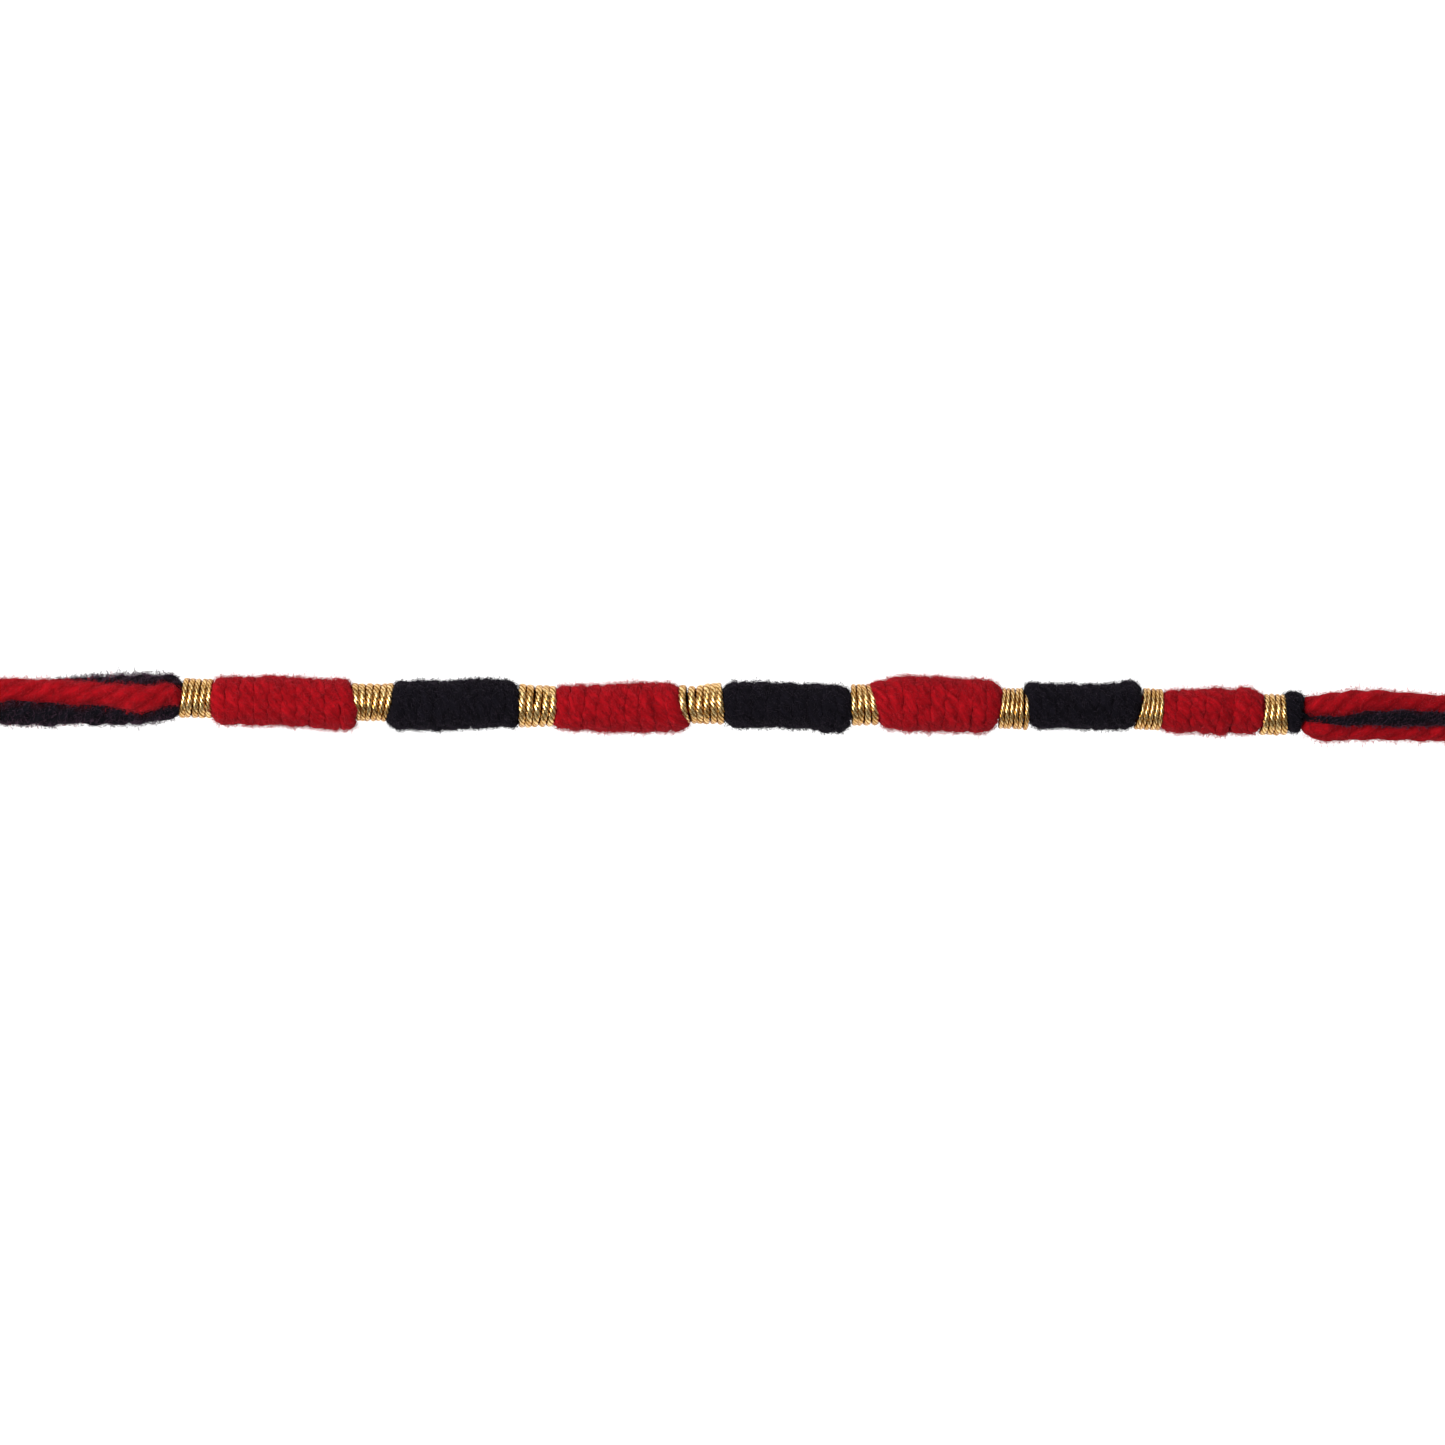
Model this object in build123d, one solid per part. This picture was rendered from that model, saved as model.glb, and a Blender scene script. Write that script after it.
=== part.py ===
from build123d import *

import math
import os
from collections import namedtuple

# A rakhi: one strand of four wool yarns, wound with barrels of red and black wool that gold
# thread binds, with two loose tie ends. It lies straight along X on the plane Z = 0.
# All sizes are in millimetres.

# Driving sizes of the yarns
loose_yarn = 1.82
pressed_yarn = 0.86
loose_gap = 0.08
pressed_gap = 0.06

# Driving sizes of what is wound round them
wool_thickness = 1.12
gold_thickness = 0.52
whipping_thickness = 0.76
bore_gap = 0.10
turn_gap_share = 0.05
wrap_gap = 0.06
thread_end_gap = 0.15

# Driving lengths along the strand
wool_wrap_length = 12.0
gold_wrap_length = 2.8
whipping_length = 1.53
left_free_end = 28.3
right_free_end = 24.7
swell_length = 2.0
mouth_gap = 0.10

# How far the strand strays sideways from a straight line
side_sway = 1.0

# Corners of a yarn's route are rounded with this share of their shorter run
corner_share = 0.45

# The yarns, with their place round the strand in degrees from the top, towards +Y
yarns = {"red_yarn_1": 0.0, "black_yarn_1": 90.0, "red_yarn_2": 180.0, "black_yarn_2": 270.0}

# What is wound on the strand, from left to right. length is a share of the kind's length. left
# and right say how far out the turns stand at each end, as shares of the kind's thickness.
Wrap = namedtuple("Wrap", "name kind length turns left right")
wraps = [
    Wrap("gold_wrap_1", "gold", 1.00, 5, 0.93, 0.93),
    Wrap("red_wrap_1", "wool", 1.07, 10, 0.98, 1.05),
    Wrap("gold_wrap_2", "gold", 1.08, 6, 0.85, 0.85),
    Wrap("black_wrap_1", "wool", 0.99, 9, 1.01, 0.93),
    Wrap("gold_wrap_3", "gold", 1.13, 5, 1.19, 1.19),
    Wrap("red_wrap_2", "wool", 0.975, 9, 0.85, 0.98),
    Wrap("gold_wrap_4", "gold", 1.17, 6, 0.81, 0.81),
    Wrap("black_wrap_2", "wool", 0.97, 9, 0.84, 0.92),
    Wrap("gold_wrap_5", "gold", 0.72, 4, 1.02, 1.02),
    Wrap("red_wrap_3", "wool", 0.96, 9, 1.21, 1.17),
    Wrap("gold_wrap_6", "gold", 0.84, 5, 1.00, 1.08),
    Wrap("black_wrap_3", "wool", 0.81, 8, 0.90, 0.92),
    Wrap("gold_wrap_7", "gold", 0.84, 4, 1.24, 1.24),
    Wrap("red_wrap_4", "wool", 0.735, 7, 0.82, 0.90),
    Wrap("gold_wrap_8", "gold", 0.87, 4, 1.02, 1.02),
    Wrap("end_whipping", "whipping", 1.0, 1, 1.00, 1.00),
]

# Where the strand bends inside its wraps, from left to right: side is a share of side_sway, and
# twist turns the four yarns round the strand, in degrees.
Bend = namedtuple("Bend", "at side twist")
bends = [
    Bend("left_mouth", 0.88, 0.0),
    Bend("gold_wrap_2", 0.52, -15.0),
    Bend("gold_wrap_3", 0.25, -28.0),
    Bend("gold_wrap_4", 0.33, -41.0),
    Bend("gold_wrap_5", 0.38, -54.0),
    Bend("gold_wrap_6", 0.12, -66.0),
    Bend("gold_wrap_7", -0.14, -77.0),
    Bend("right_mouth", -0.62, -90.0),
]

# The free ends, outwards: along is a share of the free end's length past the swelling.
Station = namedtuple("Station", "along side twist")
left_stations = [
    Station(0.00, 0.90, 1.0),
    Station(0.16, 0.80, 17.0),
    Station(0.32, 0.62, 38.0),
    Station(0.53, 0.68, 46.0),
    Station(0.76, 0.60, 51.0),
    Station(1.00, 0.72, 46.0),
]
right_stations = [
    Station(0.00, -0.76, -90.0),
    Station(0.17, -0.62, -84.0),
    Station(0.38, -0.74, -81.0),
    Station(0.59, -0.88, -86.0),
    Station(0.79, -0.84, -92.0),
    Station(1.00, -1.02, -88.0),
]

# Sizes that follow from the driving sizes
pressed_ring = (pressed_yarn + pressed_gap) / math.sqrt(2)
loose_ring = (loose_yarn + loose_gap) / math.sqrt(2)
bore_radius = pressed_ring + pressed_yarn / 2 + bore_gap
kind_length = {"wool": wool_wrap_length, "gold": gold_wrap_length, "whipping": whipping_length}
kind_thickness = {
    "wool": wool_thickness,
    "gold": gold_thickness,
    "whipping": whipping_thickness,
}
decorated_length = sum(row.length * kind_length[row.kind] for row in wraps)
strand_length = left_free_end + decorated_length + right_free_end
decorated_left = left_free_end - strand_length / 2
decorated_right = decorated_left + decorated_length


def spans():
    """The X where each wrap starts and ends, by name."""
    found = {}
    x = decorated_left
    for row in wraps:
        length = row.length * kind_length[row.kind]
        found[row.name] = (x, x + length)
        x += length
    return found


def largest_radius(row):
    """A wrap's largest outer radius."""
    return bore_radius + kind_thickness[row.kind] * max(row.left, row.right)


def resting_height(name):
    """The strand's height at a binding, where the fatter of the barrels beside it rests."""
    names = [row.name for row in wraps]
    place = names.index(name)
    beside = [row for row in wraps[max(place - 1, 0) : place + 2] if row.kind == "wool"]
    return max(largest_radius(row) for row in beside)


def core_line():
    """Points of the strand's centre line inside the wraps, with the twist at each."""
    span = spans()
    points = []
    for bend in bends:
        if bend.at == "left_mouth":
            x, carried_by = decorated_left - mouth_gap, "gold_wrap_1"
        elif bend.at == "right_mouth":
            x, carried_by = decorated_right + mouth_gap, "gold_wrap_8"
        else:
            x, carried_by = sum(span[bend.at]) / 2, bend.at
        height = resting_height(carried_by)
        points.append((Vector(x, bend.side * side_sway, height), bend.twist))
    return points


def free_line(stations, mouth_x, cut_x):
    """Points of a free end's centre line, outwards, low enough for its yarns to rest at Z = 0."""
    swollen_x = mouth_x + math.copysign(swell_length, cut_x - mouth_x)
    points = []
    for station in stations:
        angles = [math.radians(place + station.twist) for place in yarns.values()]
        lowest = max(-math.cos(angle) for angle in angles)
        height = loose_yarn / 2 + loose_ring * lowest
        x = swollen_x + station.along * (cut_x - swollen_x)
        points.append((Vector(x, station.side * side_sway, height), station.twist))
    return points


def yarn_route(line, ring, place):
    """One yarn's points: it keeps its place on a ring round the strand's line."""
    points = []
    for centre, twist in line:
        angle = math.radians(place + twist)
        points.append(centre + Vector(0, math.sin(angle), math.cos(angle)) * ring)
    return points


def corner_radii(points):
    """The radius of each corner's arc, as large as its two runs allow."""
    radii = []
    for before, corner, after in zip(points, points[1:], points[2:]):
        turn = math.radians((corner - before).get_angle(after - corner))
        run = min((corner - before).length, (after - corner).length)
        radii.append(corner_share * run / math.tan(turn / 2))
    return radii


def end_circle(route, share, diameter):
    """A yarn's section across its route at one end."""
    plane = Plane(origin=route @ share, x_dir=(0, 0, 1), z_dir=route % share)
    return plane * Circle(diameter / 2)


def tube(points, diameter):
    """A yarn along straight runs joined by tangent arcs, with its route."""
    radii = corner_radii(points)
    route = Wire(FilletPolyline(*points, radius=radii).edges())
    solid = sweep(end_circle(route, 0, diameter), path=route)
    expected = math.pi * diameter**2 / 4 * route.length
    print(
        "tube radii",
        [round(radius, 1) for radius in radii],
        "volume share",
        round(solid.volume / expected, 4),
    )
    return solid, route


def swelling(pressed_end, loose_end):
    """The short cone where a pressed yarn comes out of the wraps and swells."""
    return loft([pressed_end, loose_end], ruled=True)


def yarn(place):
    """One whole yarn: loose, pressed inside the wraps, and loose again."""
    left_line = free_line(left_stations, decorated_left, -strand_length / 2)
    right_line = free_line(right_stations, decorated_right, strand_length / 2)
    left_points = yarn_route(left_line[::-1], loose_ring, place)
    core_points = yarn_route(core_line(), pressed_ring, place)
    right_points = yarn_route(right_line, loose_ring, place)
    left_tube, left_route = tube(left_points, loose_yarn)
    core_tube, core_route = tube(core_points, pressed_yarn)
    right_tube, right_route = tube(right_points, loose_yarn)
    left_cone = swelling(
        end_circle(core_route, 0, pressed_yarn), end_circle(left_route, 1, loose_yarn)
    )
    right_cone = swelling(
        end_circle(core_route, 1, pressed_yarn), end_circle(right_route, 0, loose_yarn)
    )
    return left_tube + left_cone + core_tube + right_cone + right_tube


def point_on_core(x):
    """The point of the strand's centre line at this X."""
    points = [point for point, twist in core_line()]
    for before, after in zip(points, points[1:]):
        if x <= after.X:
            break
    share = (x - before.X) / (after.X - before.X)
    return before + (after - before) * share


def wrap_plane(start_x, end_x):
    """A plane across the strand at a wrap's left end, with its X axis down."""
    start, end = point_on_core(start_x), point_on_core(end_x)
    return Plane(origin=start, x_dir=(0, 0, -1), z_dir=end - start)


def thread_width(row):
    """How wide one turn lies along the strand."""
    return row.length * kind_length[row.kind] / row.turns * (1 - turn_gap_share)


def setback(row, beside):
    """How far the middle of a thread's end turn stops short of its wrap's end, to nest there."""
    if beside is None or beside.kind == "whipping":
        return thread_width(row) / 2 + wrap_gap / 2
    return abs(thread_width(row) - thread_width(beside)) / 4 + wrap_gap / 2


def neighbours(row):
    """The wraps before and after this one, or None past the decorated stretch."""
    place = wraps.index(row)
    before = wraps[place - 1] if place else None
    after = wraps[place + 1] if place + 1 < len(wraps) else None
    return before, after


def winding(row):
    """Wool or thread wound helically round the yarns, turn beside turn, from the underside."""
    before, after = neighbours(row)
    start_x, end_x = spans()[row.name]
    start_x += setback(row, before)
    end_x -= setback(row, after)
    pitch = (end_x - start_x) / row.turns
    width = pitch * (1 - turn_gap_share)
    thickness = kind_thickness[row.kind]
    thread = thickness * min(row.left, row.right)
    start_radius = bore_radius + thickness * row.left - thread / 2
    cone = math.degrees(math.atan2(thickness * (row.right - row.left), end_x - start_x))
    turns = row.turns - thread_end_gap / (2 * math.pi * start_radius)
    path = Edge.make_helix(pitch, turns * pitch, start_radius, angle=cone, lefthand=True)
    section = Plane(origin=path @ 0, x_dir=(1, 0, 0), z_dir=path % 0)
    coil = sweep(section * Ellipse(thread / 2, width / 2), path=Wire([path]), is_frenet=True)
    return wrap_plane(start_x, end_x) * coil


def single_turn(row):
    """One thick closed turn round the yarns."""
    start_x, end_x = spans()[row.name]
    length = end_x - start_x - wrap_gap
    thread = kind_thickness[row.kind] * row.left
    middle = Pos(bore_radius + thread / 2, (end_x - start_x) / 2)
    section = Plane.XZ * middle * Ellipse(thread / 2, length / 2)
    return wrap_plane(start_x, end_x) * revolve(section, axis=Axis.Z)


def wrap(row):
    """One wrap, a little clear of its neighbours."""
    return single_turn(row) if row.kind == "whipping" else winding(row)


def write(name, shape):
    """One piece to its own file."""
    solids = shape.solids()
    if len(solids) != 1:
        raise ValueError(f"{name} has {len(solids)} solids")
    export_step(solids[0], f"parts/{name}.step")


os.makedirs("parts", exist_ok=True)
for yarn_name, yarn_place in yarns.items():
    write(yarn_name, yarn(yarn_place))
for wrap_row in wraps:
    write(wrap_row.name, wrap(wrap_row))
print("strand length", round(strand_length, 2), "from", round(-strand_length / 2, 2))
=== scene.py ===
import math
from collections import namedtuple

import bpy
import numpy as np
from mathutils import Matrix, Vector


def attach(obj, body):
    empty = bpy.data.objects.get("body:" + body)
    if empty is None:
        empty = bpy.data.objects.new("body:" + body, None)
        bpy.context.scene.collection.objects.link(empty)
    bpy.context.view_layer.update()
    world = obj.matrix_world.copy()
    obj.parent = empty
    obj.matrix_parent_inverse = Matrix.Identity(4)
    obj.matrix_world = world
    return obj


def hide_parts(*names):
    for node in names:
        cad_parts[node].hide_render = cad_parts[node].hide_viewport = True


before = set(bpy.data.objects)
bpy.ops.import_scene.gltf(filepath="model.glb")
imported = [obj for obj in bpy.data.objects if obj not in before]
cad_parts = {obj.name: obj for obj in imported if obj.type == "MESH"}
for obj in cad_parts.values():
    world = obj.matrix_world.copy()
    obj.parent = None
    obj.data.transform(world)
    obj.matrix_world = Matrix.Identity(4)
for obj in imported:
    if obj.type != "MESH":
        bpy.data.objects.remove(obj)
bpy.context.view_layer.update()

# A rakhi's looks: four plied wool yarns, wound with wool barrels that gold thread binds, with soft
# fibres standing off the wool. The tables of shapes are in millimetres. The yarns' routes and all
# that is made are in metres.
MM = 0.001
TURN = 2 * math.pi

# The camera looks straight down on the middle of the view
VIEW_WIDTH = 130.05 * MM
VIEW_MIDDLE = (0.0, -1.305 * MM, 2.3 * MM)
LENS = 100.0
SENSOR = 36.0
NEAREST = 0.01
FARTHEST = 10.0

camera_data = bpy.data.cameras.new("camera")
camera_data.lens = LENS
camera_data.sensor_width = SENSOR
camera_data.clip_start = NEAREST
camera_data.clip_end = FARTHEST
camera = bpy.data.objects.new("camera", camera_data)
camera.location = (
    VIEW_MIDDLE[0],
    VIEW_MIDDLE[1],
    VIEW_MIDDLE[2] + VIEW_WIDTH * LENS / SENSOR,
)
bpy.context.scene.collection.objects.link(camera)
bpy.context.scene.camera = camera

# The yarns' routes in metres, from left to right: the strand's line inside the wraps, with the
# turn of the four yarns round it in degrees, and each yarn's own points in the free ends.
PRESSED_RING = 0.00065
CORE = [
    (-0.048835, 0.00088, 0.0023565, 0.0),
    (-0.031583, 0.00052, 0.0023565, -15.0),
    (-0.016609, 0.00025, 0.0023117, -28.0),
    (-0.001689, 0.00033, 0.0022781, -41.0),
    (0.012597, 0.00038, 0.0025357, -54.0),
    (0.026301, 0.00012, 0.0025357, -66.0),
    (0.038373, -0.00014, 0.0022109, -77.0),
    (0.052435, -0.00062, 0.0021885, -90.0),
]
# place is a yarn's angle on the pressed ring. The radii are tables of X and a radius, both in
# millimetres.
Yarn = namedtuple("Yarn", "name wool place diameter left right left_radii right_radii seed")
YARNS = [
    Yarn(
        name="red_yarn_1",
        wool="red",
        place=0.0,
        diameter=0.0022,
        left=[
            (-0.077035, 0.00164, 0.00290), (-0.070723, 0.00160, 0.00285),
            (-0.064674, 0.00160, 0.00286), (-0.059151, 0.00140, 0.00300),
            (-0.054943, 0.00124, 0.00318), (-0.052200, 0.00064, 0.00328),
            (-0.049700, 0.00128, 0.00318), (-0.049000, 0.00120, 0.00312),
        ],
        right=[
            (0.053300, -0.00180, 0.00210), (0.055600, -0.00204, 0.00200),
            (0.058194, -0.00200, 0.00196), (0.062961, -0.00200, 0.00196),
            (0.067728, -0.00210, 0.00196), (0.072268, -0.00208, 0.00194),
            (0.077035, -0.00222, 0.00194),
        ],
        left_radii=[
            (-77.1, 1.08), (-64.7, 1.08), (-61.0, 1.10), (-58.0, 1.02), (-54.9, 1.00),
            (-52.4, 1.18), (-50.0, 1.06), (-49.2, 0.98), (-48.9, 0.92), (-48.7, 0.74),
        ],
        right_radii=[
            (52.3, 0.86), (52.6, 1.00), (53.3, 1.10), (55.6, 0.96), (58.2, 0.86), (60.5, 0.84),
            (63.0, 0.96), (77.1, 1.0),
        ],
        seed=11,
    ),
    Yarn(
        name="black_yarn_1",
        wool="black",
        place=90.0,
        diameter=0.0019,
        left=[
            (-0.077035, 0.00166, 0.00096), (-0.070723, 0.00158, 0.00096),
            (-0.064674, 0.00158, 0.00098), (-0.059151, 0.00180, 0.00150),
            (-0.054943, 0.00200, 0.00210), (-0.051600, 0.00216, 0.00235),
            (-0.049700, 0.00200, 0.00242), (-0.049000, 0.00192, 0.00240),
        ],
        right=[
            (0.052650, -0.00115, 0.00266), (0.053300, -0.00108, 0.00266),
            (0.055600, -0.00118, 0.00266), (0.057000, -0.00100, 0.00268),
            (0.057900, -0.00078, 0.00272), (0.059400, -0.00100, 0.00272),
            (0.060900, -0.00072, 0.00274), (0.062961, -0.00096, 0.00274),
            (0.067728, -0.00106, 0.00270), (0.072268, -0.00104, 0.00268),
            (0.077035, -0.00118, 0.00268),
        ],
        left_radii=[
            (-77.1, 0.92), (-64.7, 0.86), (-59.2, 0.82), (-54.9, 0.80), (-51.6, 0.80),
            (-49.7, 0.86), (-48.95, 0.88), (-48.7, 0.74),
        ],
        right_radii=[
            (52.4, 0.38), (53.3, 0.38), (55.0, 0.42), (56.8, 0.52), (57.8, 0.66), (59.4, 0.58),
            (60.8, 0.74), (62.8, 0.60), (77.1, 0.62),
        ],
        seed=12,
    ),
    Yarn(
        name="red_yarn_2",
        wool="red",
        place=180.0,
        diameter=0.0022,
        left=[
            (-0.077035, -0.00030, 0.00104), (-0.070723, -0.00036, 0.00104),
            (-0.064674, -0.00032, 0.00104), (-0.059151, -0.00016, 0.00104),
            (-0.054943, 0.00030, 0.00104), (-0.051600, 0.00080, 0.00108),
            (-0.049700, 0.00090, 0.00140),
        ],
        right=[
            (0.053300, 0.00012, 0.00222), (0.055600, 0.00026, 0.00222),
            (0.058194, 0.00058, 0.00220), (0.062961, 0.00024, 0.00216),
            (0.067728, 0.00002, 0.00210), (0.072268, 0.00000, 0.00210),
            (0.077035, -0.00014, 0.00210),
        ],
        left_radii=[
            (-77.1, 1.04), (-64.7, 1.04), (-54.9, 1.04), (-51.6, 1.04), (-49.7, 0.98),
            (-48.95, 0.9), (-48.7, 0.7),
        ],
        right_radii=[
            (52.3, 0.84), (52.6, 0.90), (53.3, 0.98), (55.6, 1.16), (58.2, 1.10), (62.0, 1.02),
            (77.1, 1.0),
        ],
        seed=13,
    ),
    Yarn(
        name="black_yarn_2",
        wool="black",
        place=270.0,
        diameter=0.0019,
        left=[
            (-0.077035, -0.00034, 0.00280), (-0.070723, -0.00042, 0.00276),
            (-0.064674, -0.00036, 0.00276), (-0.059151, -0.00046, 0.00266),
            (-0.054943, -0.00056, 0.00240), (-0.051600, -0.00040, 0.00222),
            (-0.049700, -0.00002, 0.00228), (-0.049000, 0.00020, 0.00232),
        ],
        right=[
            (0.053300, -0.00080, 0.00140), (0.055600, -0.00082, 0.00098),
            (0.058194, -0.00064, 0.00094), (0.062961, -0.00078, 0.00094),
            (0.067728, -0.00096, 0.00094), (0.072268, -0.00094, 0.00094),
            (0.077035, -0.00112, 0.00094),
        ],
        left_radii=[
            (-77.1, 1.12), (-61.5, 1.10), (-58.5, 0.94), (-54.9, 0.82), (-51.6, 0.86),
            (-49.7, 0.86), (-48.95, 0.82), (-48.7, 0.66),
        ],
        right_radii=[(52.4, 0.66), (53.3, 0.80), (55.6, 0.92), (77.1, 0.94)],
        seed=14,
    ),
]
# Every yarn's radius inside the wraps, in millimetres
PRESSED_RADII = [(-48.6, 0.56), (52.2, 0.56)]
LEFT_MOUTH = -48.75 * MM
RIGHT_MOUTH = 52.4 * MM


def nurbs_line(points):
    """The smooth line that a NURBS spline draws with these control points."""
    curve = bpy.data.curves.new("route", "CURVE")
    curve.dimensions = "3D"
    curve.resolution_u = 32
    spline = curve.splines.new("NURBS")
    spline.points.add(len(points) - 1)
    for place, point in zip(spline.points, points):
        place.co = (*point, 1.0)
    spline.order_u = 3
    spline.use_endpoint_u = True
    holder = bpy.data.objects.new("route", curve)
    mesh = bpy.data.meshes.new_from_object(holder)
    line = np.array([vertex.co for vertex in mesh.vertices], float).reshape(-1, 3)
    bpy.data.objects.remove(holder)
    bpy.data.curves.remove(curve)
    bpy.data.meshes.remove(mesh)
    return line


def route_of(yarn):
    """A yarn's control points: its left free end, its place inside the wraps, its right free end."""
    inside = []
    for x, y, z, twist in CORE:
        angle = math.radians(yarn.place + twist)
        inside.append(
            (x, y + PRESSED_RING * math.sin(angle), z + PRESSED_RING * math.cos(angle))
        )
    return yarn.left + inside + yarn.right


lines = {yarn.name: nurbs_line(route_of(yarn)) for yarn in YARNS}


def across(name, x):
    """Y and Z of a yarn's line at these X."""
    line = lines[name]
    return np.stack([np.interp(x, line[:, 0], line[:, k]) for k in (1, 2)], axis=-1)


def yarn_radius(yarn, x):
    """A yarn's radius at these X, pressed inside the wraps."""
    at, radius = np.array(yarn.left_radii + PRESSED_RADII + yarn.right_radii).T
    return np.interp(x / MM, at, radius) * MM


# Noise that is the same on each run

TINY = 1e-12
KNOTS = 4096
SPACE_KNOTS = 65536
SPACE_KEYS = (73856093, 19349663, 83492791)
# Keeps the numbers of the cells above 0
SPACE_START = 1000.0


def eased(t):
    """From 0 to 1, slow at both ends."""
    return t * t * (3 - 2 * t)


def smooth_noise(x, seed):
    """A smooth random line from -1 to 1 with a knot at each whole number."""
    knots = np.random.default_rng(seed).uniform(-1, 1, KNOTS)
    cell = np.floor(x).astype(int)
    t = eased(x - cell)
    return knots[cell % KNOTS] * (1 - t) + knots[(cell + 1) % KNOTS] * t


def noise3(points, scale, seed):
    """Smooth random values from -1 to 1 in space, with a knot each scale."""
    place = points / scale + SPACE_START
    cell = np.floor(place).astype(np.int64)
    t = eased(place - cell)
    table = np.random.default_rng(seed).uniform(-1, 1, SPACE_KNOTS)
    value = np.zeros(points.shape[:-1])
    for corner in range(8):
        bits = np.array([corner & 1, corner >> 1 & 1, corner >> 2 & 1])
        keys = (cell + bits) * SPACE_KEYS
        key = keys[..., 0] ^ keys[..., 1] ^ keys[..., 2]
        weight = np.where(bits == 1, t, 1 - t).prod(axis=-1)
        value += table[key % SPACE_KNOTS] * weight
    return value


def waves(kinds, s, seed):
    """Smooth random waves along a thread. Each kind has a height, a length and a step of the seed."""
    return sum(height * smooth_noise(s / length, seed + step) for height, length, step in kinds)


def grain(kinds, points, seed):
    """A wool surface's lumps. Each kind has a height, a size, a share of X and a step of the seed.

    With a share of X below 1 the lumps are longer along the strand.
    """
    return sum(
        height * noise3(points * [share, 1, 1], size, seed + step)
        for height, size, share, step in kinds
    )


def unit(vectors):
    """These vectors at length 1."""
    return vectors / np.maximum(np.linalg.norm(vectors, axis=-1, keepdims=True), TINY)


def partly(share, value):
    """A factor that follows a value by this share, and stays at 1 by the rest."""
    return 1 - share + share * value


def fading(passed, end):
    """1 until half a turn before the end, then down to 0 at the end."""
    return np.clip(2 * (end - passed), 0, 1)


# Meshes from grids of points

def grid_faces(rows, columns, shift=0):
    """Quads of a closed tube's grid. shift rows are gained on each way round."""
    i, j = np.meshgrid(np.arange(rows - 1), np.arange(columns), indexing="ij")
    next_j = (j + 1) % columns
    step = np.where(next_j == 0, shift, 0)
    a = i * columns + j
    b = (i + step) * columns + next_j
    quads = np.stack([a, b, b + columns, a + columns], axis=-1).reshape(-1, 4)
    return quads[(quads < rows * columns).all(axis=1)]


def make_mesh(name, vertices, faces, material, **attributes):
    """A smooth mesh object from arrays, that rides on the strand."""
    mesh = bpy.data.meshes.new(name)
    mesh.from_pydata(vertices.reshape(-1, 3).tolist(), [], [list(map(int, f)) for f in faces])
    mesh.validate(clean_customdata=False)
    mesh.shade_smooth()
    for key, values in attributes.items():
        values = np.asarray(values, np.float32)
        kind, field = ("FLOAT_VECTOR", "vector") if values.ndim > 1 else ("FLOAT", "value")
        layer = mesh.attributes.new(key, kind, "POINT")
        layer.data.foreach_set(field, values.ravel())
    piece = bpy.data.objects.new(name, mesh)
    bpy.context.scene.collection.objects.link(piece)
    mesh.materials.append(material)
    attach(piece, "root")
    return piece


def tube_mesh(name, points, material, **attributes):
    """A closed tube from a grid of points, with a point in the middle of each end."""
    rows, columns = points.shape[:2]
    faces = grid_faces(rows, columns).tolist()
    middles = points[[0, -1]].mean(axis=1)
    first, last = rows * columns, rows * columns + 1
    for j in range(columns):
        k = (j + 1) % columns
        faces.append([first, k, j])
        faces.append([last, (rows - 1) * columns + j, (rows - 1) * columns + k])
    vertices = np.concatenate([points.reshape(-1, 3), middles])
    full = {}
    for key, values in attributes.items():
        flat = values.reshape(rows * columns, *values.shape[2:])
        ends = values[[0, -1]].mean(axis=1)
        full[key] = np.concatenate([flat, ends])
    return make_mesh(name, vertices, faces, material, **full)


# Materials

def new_material(name):
    """A material, its node tree and its shader."""
    material = bpy.data.materials.new(name)
    material.use_nodes = True
    tree = material.node_tree
    return material, tree, tree.nodes["Principled BSDF"]


def feed(tree, node, values):
    """Give a node its inputs: each value is another node's output or a constant."""
    for name, value in values.items():
        if isinstance(value, bpy.types.NodeSocket):
            tree.links.new(value, node.inputs[name])
        else:
            node.inputs[name].default_value = value


def attribute(tree, name, output="Fac"):
    """What the mesh says at each point."""
    node = tree.nodes.new("ShaderNodeAttribute")
    node.attribute_name = name
    return node.outputs[output]


def noise_texture(tree, vector, scale, detail, roughness):
    """Smooth random values from 0 to 1."""
    node = tree.nodes.new("ShaderNodeTexNoise")
    feed(tree, node, {"Vector": vector, "Scale": scale, "Detail": detail, "Roughness": roughness})
    return node.outputs["Fac"]


def ramp(tree, value, stops):
    """A colour for each value. The stops are places from 0 to 1 with their colours."""
    node = tree.nodes.new("ShaderNodeValToRGB")
    while len(node.color_ramp.elements) < len(stops):
        node.color_ramp.elements.new(0.5)
    for element, (position, colour) in zip(node.color_ramp.elements, stops):
        element.position = position
        element.color = (*colour, 1.0)
    feed(tree, node, {"Fac": value})
    return node.outputs["Color"]


def mix(tree, factor, a, b, blend="MIX"):
    """Two colours, blended by a factor."""
    node = tree.nodes.new("ShaderNodeMix")
    node.data_type = "RGBA"
    node.blend_type = blend
    feed(tree, node, {"Factor": factor, "A": a, "B": b})
    return node.outputs["Result"]


def multiply(tree, a, b):
    """One colour, toned by another."""
    return mix(tree, 1.0, a, b, "MULTIPLY")


def bump(tree, height, strength, distance):
    """Fine relief that the mesh doesn't have."""
    node = tree.nodes.new("ShaderNodeBump")
    feed(tree, node, {"Height": height, "Strength": strength, "Distance": distance})
    return node.outputs["Normal"]


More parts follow.
